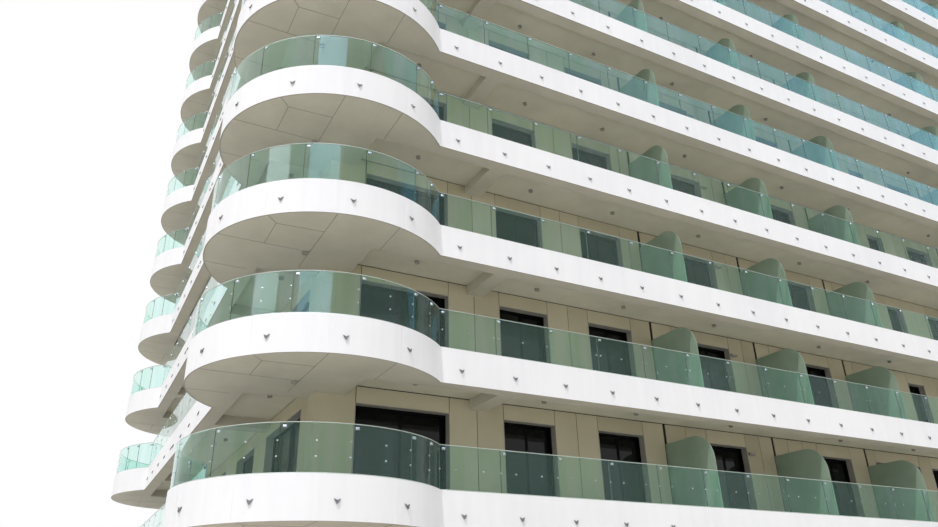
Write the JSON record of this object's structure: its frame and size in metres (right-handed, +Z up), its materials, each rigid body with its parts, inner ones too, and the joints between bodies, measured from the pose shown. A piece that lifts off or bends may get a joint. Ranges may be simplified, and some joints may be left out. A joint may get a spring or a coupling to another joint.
{
  "type": "apartment block, 1:2 scale model",
  "caption": "White balconied apartment block with rounded corners, glass balustrades and frosted privacy screens, at half size.",
  "frame": {"origin": "centre of the plan, on the ground", "axes": "+Z up, the front looks towards -Y, and the long side runs along X"},
  "size_m": [26.52, 11.7, 19.3],
  "materials": {
    "white_band": "smooth white coated cladding",
    "soffit": "smooth grey beige render",
    "cladding": "matt beige cladding panels",
    "balustrade_glass": "clear green tinted laminated glass",
    "frosted_glass": "frosted green glass",
    "concrete": "smooth concrete",
    "roofing": "pale gravel and paving",
    "dark_frame": "black powder coated window frames",
    "window_glass": "dark reflecting window glass",
    "steel": "satin steel clamps and rail"
  },
  "bodies": {
    "root": {"ground_floor": "concrete", "floors": "concrete", "roof_slab": "roofing", "corner_slabs_front_left": "concrete", "corner_slabs_front_right": "concrete", "corner_slabs_back_left": "concrete", "corner_slabs_back_right": "concrete", "corner_ceilings_front_left": "soffit", "corner_ceilings_front_right": "soffit", "corner_ceilings_back_left": "soffit", "corner_ceilings_back_right": "soffit", "edge_beams": "soffit", "downstand_beams": "soffit", "band_front": "white_band", "band_back": "white_band", "band_left": "white_band", "band_right": "white_band", "band_corner_front_left": "white_band", "band_corner_front_right": "white_band", "band_corner_back_left": "white_band", "band_corner_back_right": "white_band", "front_wall": "cladding", "back_wall": "cladding", "left_wall": "cladding", "right_wall": "cladding", "head_beams_front_back": "cladding", "head_beams_sides": "cladding", "glass_front": "balustrade_glass", "glass_back": "balustrade_glass", "glass_left": "balustrade_glass", "glass_right": "balustrade_glass", "glass_corner_front_left": "balustrade_glass", "glass_corner_front_right": "balustrade_glass", "glass_corner_back_left": "balustrade_glass", "glass_corner_back_right": "balustrade_glass", "privacy_screens_front": "frosted_glass", "privacy_screens_back": "frosted_glass", "stair_house_walls": "cladding", "stair_house_roof": "white_band"}
  },
  "joints": []
}
